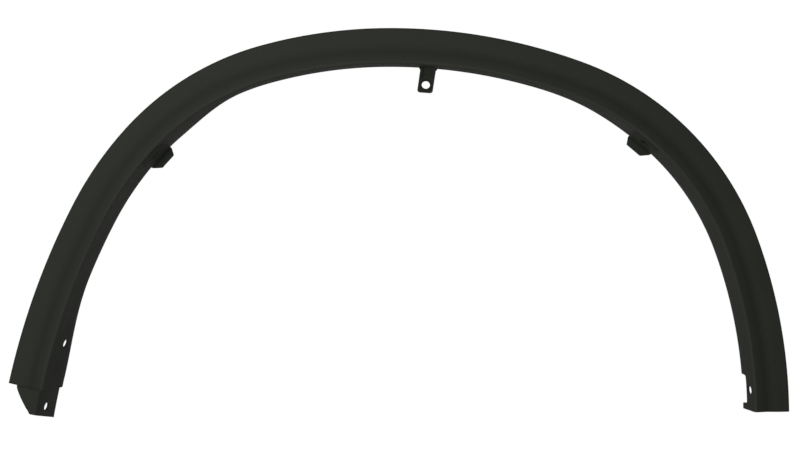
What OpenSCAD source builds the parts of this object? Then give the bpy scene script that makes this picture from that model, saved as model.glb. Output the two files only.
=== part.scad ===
// Wheel arch trim for the front left wing, seen from outside with the front of the car at the left.
// +X runs to the rear of the car, +Y into the wheel well, +Z up. Units are millimetres.
// Places on the trim are given as [s, u, v]: s runs along the outer edge from the crown
// (front negative, rear positive), u runs inwards from that edge, v runs into the wheel well.

/* [Arch line] */
// Radius of the outer edge over the crown, front half
crown_front_r = 587; // [570:1:610]
// Angle of the crown, front half
crown_front_a = 15; // [14:0.5:16]
// Radius of the front shoulder
front_shoulder_r = 340; // [325:1:355]
// Angle of the front shoulder
front_shoulder_a = 32; // [30:0.5:34]
// Radius of the front flank
front_flank_r = 422; // [405:1:440]
// Angle of the front flank
front_flank_a = 15; // [13:0.5:17]
// Radius of the front leg
front_leg_r = 868; // [820:1:950]
// Radius of the outer edge over the crown, rear half
crown_rear_r = 672; // [650:1:690]
// Angle of the crown, rear half
crown_rear_a = 20; // [19:0.5:21]
// Radius of the rear shoulder
rear_shoulder_r = 347; // [335:1:360]
// Angle of the rear shoulder
rear_shoulder_a = 49.5; // [47:0.5:51]
// Radius of the rear leg
rear_leg_r = 612; // [590:1:650]
// Length of the outer edge from the crown to the front foot
front_length = 684; // [670:1:695]
// Length of the outer edge from the crown to the rear foot
rear_length = 746; // [735:1:760]
// Radius of the body side in plan
plan_r = 5200; // [4200:50:9000]
// Distance behind the crown where the body side is fullest
plan_fullest = 134; // [60:1:200]

/* [Section] */
// Wall thickness
wall = 2.8; // [2.4:0.1:3.2]
// Width of the main face, outer edge to valley
face_w = 27.5; // [24:0.5:31]
// Width of the raised bead, valley to crest
bead_w = 14.5; // [12:0.5:17]
// Rise of the main face at its middle
face_crown = 0.7; // [0.2:0.1:1.5]
// Depth of the valley below the outer edge
valley_drop = 0.8; // [0:0.1:1.6]
// Rise of the crest above the outer edge
crest_rise = 2.6; // [1.5:0.1:4]
// Depth of the outer rim that meets the wing
rim_depth = 10; // [8:0.5:13]
// Radius of the outer edge
edge_r = 3.2; // [3:0.1:4]
// Radius of the valley
valley_r = 14; // [8:1:18]
// Radius of the crest
crest_r = 3.2; // [3:0.1:4]

/* [Flange] */
// Depth of the flange over the crown
crown_flange = 17; // [14:0.5:22]
// Depth of the flange along the front leg
front_flange = 38; // [34:0.5:42]
// Depth of the flange at the front foot
foot_flange = 50; // [46:0.5:54]
// Depth of the flange along the rear leg
rear_flange = 32; // [29:0.5:36]
// Draft of the flange
flange_draft = 8; // [6:0.5:10]
// Draft of the flange at the front foot
foot_draft = 12; // [10:0.5:14]

/* [Tabs and holes] */
// Diameter of the fixing holes
hole_d = 10; // [8:0.1:11]
// Width of the top tab
top_tab_w = 18.6; // [17:0.1:22]
// Length of the top tab down to its hole
top_tab_reach = 24; // [20:0.5:28]
// Place of the top tab along the edge
top_tab_s = 51; // [30:1:75]
// Place of the front tab along the edge
front_tab_s = -345.5; // [-370:0.5:-325]
// Place of the rear tab along the edge
rear_tab_s = 354.5; // [335:0.5:380]
// Width of the side tabs at the flange
side_tab_w = 34; // [30:0.5:40]
// Reach of the side tabs past the flange
side_tab_reach = 9.5; // [7:0.5:13]
// Depth of the side tab holes below the crest
side_hole_depth = 16; // [13:0.5:20]
// Distance of the front leg hole above the foot
leg_hole_up = 59.5; // [50:0.5:75]
// Depth of the front leg hole below the crest
leg_hole_depth = 31; // [24:0.5:36]

/* [Feet] */
// Length of the tongue below the front foot
tongue_length = 32; // [28:0.5:40]
// Set-in of the tongue from the outer edge
tongue_set_in = 11; // [9:0.5:15]
// Depth of the tongue's flange
tongue_flange = 47; // [42:0.5:49]
// Distance of the tongue hole below the foot
tongue_hole_down = 24; // [20:0.5:26]
// Depth of the tongue hole below the crest
tongue_hole_depth = 24; // [18:0.5:32]
// Length of the flange notch at the rear foot
notch_length = 33; // [24:1:40]
// Depth of the flange notch
notch_depth = 11; // [7:0.5:14]
// Distance of the notch above the rear foot
notch_up = 10; // [8:0.5:16]

/* [Back] */
// Spacing of the clip seats along the edge
clip_pitch = 150; // [120:5:200]
// Length of a clip seat
clip_l = 20; // [16:0.5:24]
// Width of a clip seat
clip_w = 15; // [13:0.5:16]
// Width of the slot in a clip seat
clip_slot = 7; // [5:0.5:8]
// Wall of the clip seats and ribs
rib_wall = 1.8; // [1.5:0.1:2.2]
// Spacing of the ribs behind the crest
rib_pitch = 75; // [50:5:120]

/* [Hidden] */
$fn = 48;
trim_colour = [0.16, 0.17, 0.155];
station_step = 19;
arc_steps = 3;
crest_steps = 5;
// Depth by which a joined feature runs into the wall that carries it
bite = 0.9;
eps = 0.01;
crest_u = face_w + bead_w;
// Length and wall of the hem at each foot
hem_l = 3.5;
hem_wall = 2 * wall;
// Stretches over which the flange deepens, measured along the edge from the crown
front_fade = [195, 300];
rear_fade = [195, 345];
// Stretch over which the front foot splays, measured up from the foot
foot_fade = [154, 14];
front_arcs = [
    [crown_front_r, crown_front_a],
    [front_shoulder_r, front_shoulder_a],
    [front_flank_r, front_flank_a],
    [front_leg_r, 90]
];
rear_arcs = [
    [crown_rear_r, crown_rear_a],
    [rear_shoulder_r, rear_shoulder_a],
    [rear_leg_r, 90]
];

// Plane geometry
function unit(v) = v / norm(v);
function turn90(v) = [-v[1], v[0]];
function cross2(a, b) = a[0] * b[1] - a[1] * b[0];
function spin(v, a) = [v[0] * cos(a) - v[1] * sin(a), v[0] * sin(a) + v[1] * cos(a)];
function reverse(list) = [for (i = [len(list) - 1 : -1 : 0]) list[i]];
function clamp(t) = max(0, min(1, t));
function ramp(t) = clamp(t) * clamp(t) * (3 - 2 * clamp(t));

// A corner's side: 1 where the line turns towards its inner face, -1 where it turns away
function corner_side(p, i) = sign(cross2(p[i] - p[i - 1], p[i + 1] - p[i]));

// A line moved sideways by o, towards its inner face
function beside(p, o) = [
    for (i = [0 : len(p) - 1])
        let (n1 = turn90(unit(i == 0 ? p[1] - p[0] : p[i] - p[i - 1])))
        let (n2 = turn90(unit(i == len(p) - 1 ? p[i] - p[i - 1] : p[i + 1] - p[i])))
        p[i] + (n1 + n2) * o / (1 + n1 * n2)
];

// The arc that rounds corner b between a and c
function fillet(a, b, c, r, steps) =
    let (d1 = unit(b - a), d2 = unit(c - b), side = sign(cross2(d1, d2)), turn = acos(d1 * d2))
    let (start = b - d1 * r * tan(turn / 2), centre = start + turn90(d1) * side * r)
    [for (k = [0 : steps]) centre + spin(start - centre, side * turn * k / steps)];

// A line with its corners rounded, where a radius of 0 keeps a corner as it is
function rounded(p, radii, steps) = [
    for (i = [0 : len(p) - 1])
        each radii[i] == 0 ? [p[i]] : fillet(p[i - 1], p[i], p[i + 1], radii[i], steps[i])
];

// One face of a bent sheet, o below the line that its outer corners follow
function sheet_face(p, radii, steps, o) = rounded(
    beside(p, o),
    [for (i = [0 : len(p) - 1]) radii[i] == 0 ? 0 : max(0.3, radii[i] - corner_side(p, i) * o)],
    steps
);

// The outline of a bent sheet between two depths below its line
function sheet_outline(p, radii, steps, top, bottom) =
    concat(sheet_face(p, radii, steps, top), reverse(sheet_face(p, radii, steps, bottom)));

// Where the outer edge runs: x, z and heading after a distance d along a chain of tangent arcs
function walk(arcs, d, i = 0, x = 0, z = 0, h = 0) =
    let (r = arcs[i][0], whole = r * arcs[i][1] * PI / 180)
    let (run = min(d, whole), a = run / r * 180 / PI)
    let (x2 = x + r * (sin(h + a) - sin(h)), z2 = z + r * (cos(h + a) - cos(h)))
    d > whole + eps ? walk(arcs, d - whole, i + 1, x2, z2, h + a) : [x2, z2, h + a];

// The outer edge at s: x, y, z, heading in the side view, slope in plan
function edge(s) =
    let (side = s < 0 ? -1 : 1, w = walk(s < 0 ? front_arcs : rear_arcs, abs(s)))
    let (x = side * w[0], heading = side * w[2])
    let (aft = x - plan_fullest)
    [x, aft * aft / (2 * plan_r), w[1], heading, atan(aft / plan_r * cos(heading))];

function place(s, u, v) =
    let (e = edge(s))
    [e[0] - u * sin(e[3]), e[1] + v, e[2] - u * cos(e[3])];

function along(s) = let (heading = edge(s)[3]) [cos(heading), 0, -sin(heading)];

// The flange, deep along the legs and shallow over the crown
function foot_share(s) = ramp((-s - front_length + foot_fade[0]) / (foot_fade[0] - foot_fade[1]));
function fade(s, limits) = ramp((abs(s) - limits[0]) / (limits[1] - limits[0]));
function mix(a, b, t) = a + (b - a) * t;
function flange_depth(s) = s < 0
    ? mix(mix(crown_flange, front_flange, fade(s, front_fade)), foot_flange, foot_share(s))
    : mix(crown_flange, rear_flange, fade(s, rear_fade));
function draft(s) = s < 0 ? mix(flange_draft, foot_draft, foot_share(s)) : flange_draft;

// The band's section as a bent sheet: rim, face, valley, crest, flange
section_radii = [0, edge_r, 60, valley_r, crest_r, 0];
section_steps = [0, arc_steps, arc_steps, arc_steps, crest_steps, 0];
function crest_corner() = [crest_u, -crest_rise];
function flange_point(s, d) = crest_corner() + d * [tan(draft(s)), 1];
function band_line(s) = [
    [0.4, rim_depth],
    [0, 0],
    [face_w / 2, -face_crown],
    [face_w, valley_drop],
    crest_corner(),
    flange_point(s, flange_depth(s))
];
function band_ring(s, thick) = [
    for (p = sheet_outline(band_line(s), section_radii, section_steps, 0, thick)) place(s, p[0], p[1])
];

// The tongue at a distance d below the foot: its front edge is chamfered and its end raked
tongue_root = hem_l / 2;
tongue_rake = 10;
tongue_chamfer = [2, 20.5];
tongue_rings = 8;
face_points = 7;
function tongue_edge(d) =
    let (share = clamp((d - tongue_chamfer[0]) / (tongue_length - tongue_chamfer[0])))
    tongue_set_in + tongue_chamfer[1] * pow(share, 1.2);
function tongue_lean(d) = tan(tongue_rake) * (d + tongue_root) / (tongue_length + tongue_root);

// Its face runs along the band's, one wall deeper, from its front edge to the crest
function tongue_face(u) =
    let (outer = valley_drop - (valley_drop + face_crown) * (face_w - u) * 2 / face_w)
    let (bead = valley_drop - (valley_drop + crest_rise) * (u - face_w) / bead_w)
    min(outer, bead) - 0.2 * exp(-pow((u - face_w) / 3, 2));
function tongue_line(d) = concat(
    [for (k = [0 : face_points])
        let (u = tongue_edge(d) + (crest_u - crest_r - 5 - tongue_edge(d)) * k / face_points)
        [u, tongue_face(u)]],
    [crest_corner(), flange_point(-front_length - d, tongue_flange)]
);
tongue_radii = [for (k = [0 : face_points + 2]) k == face_points + 1 ? crest_r + wall : 0];
tongue_steps = [for (k = [0 : face_points + 2]) crest_steps];
function tongue_ring(d) = [
    for (p = sheet_outline(tongue_line(d), tongue_radii, tongue_steps, wall - bite, 2 * wall - bite))
        place(-front_length - d, p[0], p[1]) - tongue_lean(d) * (p[1] + crest_rise) * along(-front_length - d)
];

// A skin through rings that have the same number of points
module loft(rings) {
    n = len(rings[0]);
    last = len(rings) - 1;
    polyhedron(
        points = [for (ring = rings) each ring],
        faces = concat(
            [[for (j = [0 : n - 1]) j]],
            [[for (j = [n - 1 : -1 : 0]) last * n + j]],
            [for (i = [0 : last - 1], j = [0 : n - 1])
                let (k = (j + 1) % n)
                each [[i * n + j, (i + 1) * n + k, i * n + k], [i * n + j, (i + 1) * n + j, (i + 1) * n + k]]]
        )
    );
}

// Stations from a to b, about station_step apart
function stations(a, b) = let (n = ceil((b - a) / station_step)) [for (i = [0 : n]) a + (b - a) * i / n];

// Frame on the band: x along the edge, y into the wheel well, z outwards from the wheel
module on_band(s) {
    e = edge(s);
    translate([e[0], e[1], e[2]]) rotate([0, e[3], 0]) rotate([0, 0, e[4]]) children();
}

// Frame on the flange's visible face: x along it, y down its depth, z into the wall
module on_flange(s) {
    on_band(s) translate([0, -crest_rise, -crest_u]) rotate([-draft(s), 0, 0]) children();
}

// A plane outline in x and z, given thickness t along y
module plate(outline, t) {
    rotate([90, 0, 0]) linear_extrude(t, center = true) polygon(outline);
}

// The band, with its wall thickened into a hem at each foot
module band() {
    front = [-front_length, -front_length + hem_l];
    rear = [rear_length - hem_l, rear_length];
    loft(concat(
        [for (s = front) band_ring(s, hem_wall)],
        [for (s = stations(front[1] + wall, rear[0] - wall)) band_ring(s, wall)],
        [for (s = rear) band_ring(s, hem_wall)]
    ));
}

// Joggled tongue that laps under the bumper, rooted in the front hem
module tongue() {
    loft([
        for (i = [tongue_rings : -1 : 0])
            tongue_ring((tongue_length + tongue_root) * i / tongue_rings - tongue_root)
    ]);
}

// Fixing tab that hangs from the flange over the crown: bent once, and leaning to the front
tab_lean = 4.5;
tab_bend = 15;
tab_slopes = [46, 24];
tab_end = 9.5;
tab_rib_w = 3.4;
function down(a, l) = l * [cos(a), sin(a)];
tab_knee = flange_point(top_tab_s, flange_depth(top_tab_s) - 2);
tab_start = tab_knee - down(tab_slopes[0], 0.5);
tab_elbow = tab_knee + down(tab_slopes[0], tab_bend);
tab_hole = tab_elbow + down(tab_slopes[1], top_tab_reach - tab_bend);
tab_tip = tab_hole + down(tab_slopes[1], tab_end);
function swap(points) = [for (p = points) [p[1], -p[0]]];
function leaning(points) = [for (p = points) [p[0] - tan(tab_lean) * max(0, -p[1] - tab_knee[0]), p[1]]];

// Centre of the tab's hole, o below the tab's visible face, in the band's frame
function tab_centre(o) =
    let (p = tab_hole + turn90(down(tab_slopes[1], o)))
    [-tan(tab_lean) * (tab_hole[0] - tab_knee[0]), p[1], -p[0]];

// Frame at the top tab's hole: z along the hole, out of the wheel well
module at_top_hole() {
    on_band(top_tab_s) translate(tab_centre(0)) rotate([90 + tab_slopes[1], 0, 0]) children();
}

// A stretch of the tab's bent sheet between two depths below its visible face
module tab_sheet(path, radii, top, bottom) {
    rotate([90, 0, 90]) linear_extrude(2 * top_tab_w, center = true)
        polygon(swap(sheet_outline(path, radii, [4, 4, 4, 4], top, bottom)));
}

module top_tab() {
    half = top_tab_w / 2;
    flare = 1.6;
    low = -tab_tip[0];
    root = -tab_knee[0] - 0.5;
    high = -tab_start[0] + 4;
    side = [[half + flare, high], [half + flare, root], [half, root - flare], [half, low]];
    outline = concat([for (p = side) [-p[0], p[1]]], reverse(side));
    on_band(top_tab_s) intersection() {
        union() {
            tab_sheet([tab_start, tab_elbow, tab_tip], [0, 8, 0], 0, wall);
            intersection() {
                tab_sheet([tab_start, tab_elbow], [0, 0], -1.5, bite);
                translate([0, 20, 0]) plate(leaning([
                    [-half - 2 * flare, high],
                    [-half - 2 * flare, low],
                    [-half + tab_rib_w, low],
                    [-half + tab_rib_w, root],
                    [-half + tab_rib_w, high]
                ]), 90);
            }
        }
        translate([0, 20, 0])
            plate(rounded(leaning(outline), [0, 1, 1.5, 3.5, 3.5, 1.5, 1, 0], [0, 3, 3, 5, 5, 3, 3, 0]), 90);
    }
    at_top_hole() translate([0, 0, -bite]) cylinder(h = bite + 0.6, d = hole_d + 5);
}

// Side tab: a thickened pad on the flange that ends in an inward lip, long taper towards the foot
pad_proud = 1;
module side_tab(s) {
    crown_side = -sign(s);
    half = side_tab_w / 2;
    depth = flange_depth(s) / cos(draft(s));
    lip = [
        [crown_side * half, wall / 2],
        [crown_side * half, -pad_proud],
        [crown_side * (half - 4.5), -side_tab_reach],
        [-crown_side * (half - 8.5), -side_tab_reach],
        [-crown_side * half, -pad_proud],
        [-crown_side * half, wall / 2]
    ];
    on_flange(s) {
        translate([-half, side_hole_depth - hole_d, -pad_proud])
            cube([side_tab_w, depth + 5 - side_hole_depth + hole_d, wall + pad_proud + 0.4]);
        translate([0, depth + 5 - wall / 2, 0])
            plate(rounded(lip, [0, 1, 2, 2, 1, 0], [0, 2, 4, 4, 2, 0]), wall);
    }
}

// A round hole through the flange
module flange_hole(s, depth) {
    on_flange(s) translate([0, depth / cos(draft(s)), 0]) cylinder(h = 8 * wall, d = hole_d, center = true);
}

// Notch in the flange above the rear foot
module notch() {
    s = rear_length - notch_up - notch_length / 2;
    deep = rear_flange / cos(flange_draft);
    r = 3;
    half = notch_length / 2;
    on_flange(s) translate([0, 0, -2 * wall]) linear_extrude(5 * wall)
        polygon(rounded([
            [-half - 2, deep + 8],
            [-half, deep - notch_depth],
            [half, deep - notch_depth],
            [half + 2, deep + 8]
        ], [0, r, r, 0], [0, 4, 4, 0]));
}

// Clip seat on the back of the face: an open box whose top plate takes the clip from one end
module clip_seat(s) {
    low = wall / 2;
    high = rim_depth - 0.5;
    near = edge_r + 3;
    on_band(s) translate([0, 0, -near - clip_w / 2]) difference() {
        translate([-clip_l / 2, low, -clip_w / 2]) cube([clip_l, high - low, clip_w]);
        translate([-clip_l / 2 + rib_wall, low - 1, -clip_w / 2 + rib_wall])
            cube([clip_l, high - low + 1 - rib_wall, clip_w - 2 * rib_wall]);
        translate([0, high - rib_wall - 1, -clip_slot / 2]) cube([clip_l, rib_wall + 2, clip_slot]);
        translate([0, high + 1, 0]) rotate([90, 0, 0]) cylinder(h = rib_wall + 2, d = clip_slot);
    }
}

// Rib in the corner between the bead and the flange
rib_reach = 13;
module rib(s) {
    on_band(s) rotate([90, 0, 90]) linear_extrude(rib_wall, center = true) polygon([
        [wall - crest_rise + 2.4, -crest_u + rib_reach],
        [wall / 2 - crest_rise, -crest_u + wall],
        [wall - crest_rise, -crest_u + wall / 2],
        [rib_reach - crest_rise, -crest_u - rib_reach * tan(draft(s)) + wall / 2]
    ]);
}

// Places of a pattern of the given pitch, centred between the feet
foot_margin = 55;
function pattern(pitch) =
    let (whole = front_length + rear_length - 2 * foot_margin, n = floor(whole / pitch))
    [for (i = [0 : n]) -front_length + foot_margin + (whole - n * pitch) / 2 + i * pitch];

// The centre of the top tab's hole, half-way through its wall, where the part's origin lies
function about_y(p, a) = [p[0] * cos(a) + p[2] * sin(a), p[1], p[2] * cos(a) - p[0] * sin(a)];
function about_z(p, a) = [p[0] * cos(a) - p[1] * sin(a), p[0] * sin(a) + p[1] * cos(a), p[2]];
function band_to_part(s, p) = let (e = edge(s)) [e[0], e[1], e[2]] + about_y(about_z(p, e[4]), e[3]);
top_hole = band_to_part(top_tab_s, tab_centre(wall / 2));

module arch_trim() {
    color(trim_colour) translate(-top_hole) difference() {
        union() {
            band();
            tongue();
            top_tab();
            side_tab(front_tab_s);
            side_tab(rear_tab_s);
            for (s = pattern(clip_pitch)) clip_seat(s);
            for (s = pattern(rib_pitch)) rib(s);
        }
        at_top_hole() cylinder(h = 8 * wall, d = hole_d, center = true);
        flange_hole(front_tab_s, side_hole_depth);
        flange_hole(rear_tab_s, side_hole_depth);
        flange_hole(-front_length + leg_hole_up, leg_hole_depth);
        flange_hole(-front_length - tongue_hole_down, tongue_hole_depth);
        flange_hole(rear_length - notch_up - notch_length / 2, rear_flange - notch_depth - hole_d / 2 - 2.5);
        notch();
    }
}

arch_trim();
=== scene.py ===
# %% [markdown]
# # A wheel arch trim in moulded plastic
#
# This lesson dresses one part: the unpainted black trim that edges the front wheel arch of a
# small sport utility car. It is a single moulding, so nothing moves and nothing is screwed to it.
# What makes it worth modelling is its shape: one thin sheet, bent to a section that never quite
# stays the same, carried along a line of arcs. We draw that line once and let every rib, seat and
# tab find its place on it.

# %% Load the frame
import math

import bmesh
import bpy
from mathutils import Matrix, Vector
from mathutils.kdtree import KDTree


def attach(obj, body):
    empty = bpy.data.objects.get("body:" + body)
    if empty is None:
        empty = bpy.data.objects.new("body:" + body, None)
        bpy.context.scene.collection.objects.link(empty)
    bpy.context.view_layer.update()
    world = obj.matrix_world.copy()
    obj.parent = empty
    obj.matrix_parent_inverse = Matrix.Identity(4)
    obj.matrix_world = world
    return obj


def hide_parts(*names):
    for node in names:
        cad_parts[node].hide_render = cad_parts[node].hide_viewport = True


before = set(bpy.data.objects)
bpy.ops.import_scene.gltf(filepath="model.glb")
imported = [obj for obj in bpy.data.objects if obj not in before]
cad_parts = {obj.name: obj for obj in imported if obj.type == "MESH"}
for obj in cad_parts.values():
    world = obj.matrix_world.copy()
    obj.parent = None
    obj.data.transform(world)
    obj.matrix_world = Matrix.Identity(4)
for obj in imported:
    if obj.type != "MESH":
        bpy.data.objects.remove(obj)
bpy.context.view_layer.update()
print("nodes in the frame:", sorted(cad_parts))

# %% [markdown]
# ## Sizes
#
# On the real part every size comes from one drawing. We keep one list too, in millimetres, and
# work in the drawing's own space: the outer edge's crown is at the origin, X runs to the rear of
# the car, Y into the wheel well and Z up. Only at the very end is the finished piece moved to the
# frame's metres.

# %% Sizes of the trim, in millimetres and degrees
FRONT_ARCS = [(587, 15), (340, 32), (422, 15), (868, 90)]
REAR_ARCS = [(672, 20), (347, 49.5), (612, 90)]
FRONT_LENGTH, REAR_LENGTH = 684, 746
PLAN_R, PLAN_FULLEST = 5200, 134
WALL = 2.8
FACE_W, BEAD_W = 27.5, 14.5
FACE_CROWN, VALLEY_DROP, CREST_RISE, RIM_DEPTH, RIM_LEAN = 0.7, 0.8, 2.6, 10, 0.4
EDGE_R, FACE_R, VALLEY_R, CREST_R = 3.2, 60, 14, 3.2
CREST_U = FACE_W + BEAD_W
CROWN_FLANGE, FRONT_FLANGE, FOOT_FLANGE, REAR_FLANGE = 17, 38, 50, 32
FRONT_FADE, REAR_FADE, FOOT_FADE = (195, 300), (195, 345), (154, 14)
DRAFT, FOOT_DRAFT = 8, 12
HOLE_D = 10
print("edge line:", FRONT_LENGTH, "mm to the front foot and", REAR_LENGTH, "mm to the rear foot")

# %% [markdown]
# ## The line that carries everything
#
# The arch is not one circle. A designer draws it as arcs that meet without a kink, tight at the
# shoulders and slack over the crown and down the legs. `walk` follows such a chain of arcs for a
# given distance, and `edge` turns that distance into a place on the car: how far back, how far in
# (the body side is slightly bowed, seen from above) and how high, with the direction of travel.

# %% Walk along a chain of arcs
def walk(arcs, distance):
    x = z = heading = 0.0
    for radius, sweep in arcs:
        run = min(distance, radius * math.radians(sweep))
        ahead = heading + run / radius
        x += radius * (math.sin(ahead) - math.sin(heading))
        z += radius * (math.cos(ahead) - math.cos(heading))
        heading = ahead
        distance -= run
        if distance <= 1e-6:
            break
    return x, z, heading


def edge(s):
    side = -1 if s < 0 else 1
    x, z, heading = walk(FRONT_ARCS if s < 0 else REAR_ARCS, abs(s))
    aft = side * x - PLAN_FULLEST
    heading *= side
    slope = math.atan(aft / PLAN_R * math.cos(heading))
    return Vector((side * x, aft * aft / (2 * PLAN_R), z)), heading, slope


for label, s in (("front foot", -FRONT_LENGTH), ("crown", 0), ("rear foot", REAR_LENGTH)):
    print(label, "at", [round(v, 1) for v in edge(s)[0]], "mm")


# %% Depth and draft of the flange
def ramp(t):
    """A smooth step from 0 at t = 0 to 1 at t = 1."""
    t = max(0.0, min(1.0, t))
    return t * t * (3 - 2 * t)


def foot_share(s):
    return ramp((-s - FRONT_LENGTH + FOOT_FADE[0]) / (FOOT_FADE[0] - FOOT_FADE[1]))


def flange_depth(s):
    fade = FRONT_FADE if s < 0 else REAR_FADE
    deep = FRONT_FLANGE if s < 0 else REAR_FLANGE
    depth = CROWN_FLANGE + (deep - CROWN_FLANGE) * ramp((abs(s) - fade[0]) / (fade[1] - fade[0]))
    return depth + (FOOT_FLANGE - FRONT_FLANGE) * foot_share(s)


def draft(s):
    return math.radians(DRAFT + (FOOT_DRAFT - DRAFT) * foot_share(s))


print("flange over the crown and at the feet:",
      [round(flange_depth(s), 1) for s in (0, -FRONT_LENGTH, REAR_LENGTH)], "mm")


# %% Frames that ride along the edge
def on_band(s):
    """x along the edge, y into the wheel well, z out of the wheel."""
    place, heading, slope = edge(s)
    turn = Matrix.Rotation(heading, 4, "Y") @ Matrix.Rotation(slope, 4, "Z")
    return Matrix.Translation(place) @ turn


def on_flange(s):
    """x along the flange, y down its depth, z into its wall."""
    corner = Matrix.Translation((0, -CREST_RISE, -CREST_U))
    return on_band(s) @ corner @ Matrix.Rotation(-draft(s), 4, "X")


# %% [markdown]
# ## The section of a bent sheet
#
# A moulded sheet has the same wall nearly everywhere, so its section is one line and a thickness.
# `beside` moves a line sideways, `fillet` rounds a corner with an arc, and together they give
# both skins of the sheet with the bends staying concentric, as they do in the mould.

# %% Lines, offsets and fillets in the plane
TIGHTEST, SHARP = 0.3, math.radians(40)


def left_of(v):
    return Vector((-v.y, v.x))


def beside(points, offset):
    """The same open line, moved to its left by an offset."""
    moved = []
    for i, p in enumerate(points):
        before = (p - points[i - 1]).normalized() if i else None
        after = (points[i + 1] - p).normalized() if i < len(points) - 1 else None
        n1, n2 = left_of(before or after), left_of(after or before)
        moved.append(p + (n1 + n2) * offset / (1 + n1.dot(n2)))
    return moved


def fillet(a, b, c, radius, steps):
    """The arc that rounds corner b between a and c."""
    d1, d2 = (b - a).normalized(), (c - b).normalized()
    turn = math.acos(max(-1.0, min(1.0, d1.dot(d2))))
    side = 1 if d1.x * d2.y - d1.y * d2.x > 0 else -1
    start = b - d1 * radius * math.tan(turn / 2)
    centre = start + left_of(d1) * side * radius
    arc = []
    for k in range(steps + 1):
        angle = side * turn * k / steps
        arm = start - centre
        arc.append(centre + Vector((arm.x * math.cos(angle) - arm.y * math.sin(angle),
                                    arm.x * math.sin(angle) + arm.y * math.cos(angle))))
    return arc


def corner_side(points, i):
    a, b = points[i] - points[i - 1], points[i + 1] - points[i]
    return 1 if a.x * b.y - a.y * b.x > 0 else -1


def sheet_skin(points, radii, steps, offset):
    """One skin of a bent sheet; its bends stay concentric with those of the line."""
    line = beside(points, offset)
    skin = []
    for i, p in enumerate(line):
        if radii[i] == 0:
            skin.append(p)
        else:
            radius = max(TIGHTEST, radii[i] - corner_side(points, i) * offset)
            skin += fillet(line[i - 1], p, line[i + 1], radius, steps[i])
    return skin


def rounded_ring(ring, radius, steps=3):
    """A closed outline whose sharp corners are rounded."""
    out = []
    for i, p in enumerate(ring):
        a, c = ring[i - 1], ring[(i + 1) % len(ring)]
        if (p - a).angle(c - p) > SHARP:
            out += fillet(a, p, c, radius, steps)
        else:
            out.append(p)
    return out


# %% [markdown]
# ## The band's section
#
# Seen from its end the band is a rim that turns back to meet the wing, a face with a very slight
# crown, a shallow valley, a raised bead and the flange. The flange is drawn at a short nominal
# depth here. Each point also carries a *share*: 0 for points that belong to the face, 1 for the
# flange's free end and something between for points on the way. Later the node tree stretches
# the flange by that share, so one section serves the whole arch.

# %% Draw the section and give each point its share
NOMINAL, EDGE_ROUND = 20, 0.7
SECTION_RADII = [0, EDGE_R, FACE_R, VALLEY_R, CREST_R, 0]
SECTION_STEPS = [0, 7, 6, 6, 8, 0]


def flange_line(depth, angle=math.radians(DRAFT)):
    return Vector((CREST_U + depth * math.tan(angle), depth - CREST_RISE))


def band_ring(top, bottom, rounding):
    line = [Vector(p) for p in ((RIM_LEAN, RIM_DEPTH), (0, 0), (FACE_W / 2, -FACE_CROWN),
                                (FACE_W, VALLEY_DROP), (CREST_U, -CREST_RISE))]
    line.append(flange_line(NOMINAL))
    skins = [sheet_skin(line, SECTION_RADII, SECTION_STEPS, offset) for offset in (top, bottom)]
    ring = []
    for k, skin in enumerate(skins):
        run = skin[-1] - skin[-2]
        inner = [(skin[-2] + run * t, t) for t in (0.25, 0.5, 0.75)]
        points = [(p, 0) for p in skin[:-1]] + inner + [(skin[-1], 1)]
        ring += points if k == 0 else reversed(points)
    outline = rounded_ring([p for p, share in ring], rounding)
    shares = []
    for p in outline:
        near = min(ring, key=lambda entry: (entry[0] - p).length)
        shares.append(near[1])
    back = Vector((math.tan(math.radians(DRAFT)), 1)) * NOMINAL
    return [(p.x - back.x * share, p.y - back.y * share, share)
            for p, share in zip(outline, shares)]


section = band_ring(0, WALL, EDGE_ROUND)
print("points in the section:", len(section))

# %% [markdown]
# ## A node tree that sweeps the section
#
# Curve to Mesh could sweep the section, but it turns the profile with the curve's own normals,
# and our flange must always run into the wheel well. So the tree builds a plain grid, one row for
# each station and one column for each point of the section, samples the edge curve for place and
# direction, and sets every vertex itself. The bow of the body side and the deepening flange are
# sums of a few map ranges, which use the same smooth step as the drawing.

# %% Small helpers for wiring node trees
def wire(tree, kind, inputs=None, **settings):
    node = tree.nodes.new(kind)
    for name, value in settings.items():
        setattr(node, name, value)
    for name, value in (inputs or {}).items():
        if isinstance(value, bpy.types.NodeSocket):
            tree.links.new(value, node.inputs[name])
        else:
            node.inputs[name].default_value = value
    return node


def sum_of(tree, operation, a, b=0.0, c=0.0):
    return wire(tree, "ShaderNodeMath", {0: a, 1: b, 2: c}, operation=operation).outputs[0]


def smooth_step(tree, value, low, high, to=1.0):
    limits = {"Value": value, "From Min": low, "From Max": high, "To Min": 0.0, "To Max": to}
    return wire(tree, "ShaderNodeMapRange", limits, interpolation_type="SMOOTHSTEP").outputs[0]


def new_geometry_tree(name, sockets):
    tree = bpy.data.node_groups.new(name, "GeometryNodeTree")
    tree.interface.new_socket("Geometry", in_out="OUTPUT", socket_type="NodeSocketGeometry")
    tree.interface.new_socket("Geometry", in_out="INPUT", socket_type="NodeSocketGeometry")
    for label, kind in sockets:
        tree.interface.new_socket(label, in_out="INPUT", socket_type="NodeSocket" + kind)
    return tree, tree.nodes.new("NodeGroupInput"), tree.nodes.new("NodeGroupOutput")


def along_edge(tree, curve, length):
    """Place and direction on the edge curve, and the direction across the face."""
    sample = wire(tree, "GeometryNodeSampleCurve", {"Curves": curve}, mode="LENGTH",
                  data_type="FLOAT")
    tree.links.new(length, sample.inputs["Length"])
    across = wire(tree, "ShaderNodeVectorMath", {0: (0, 1, 0), 1: sample.outputs["Tangent"]},
                  operation="CROSS_PRODUCT")
    return sample.outputs["Position"], sample.outputs["Tangent"], across.outputs[0]


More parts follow.
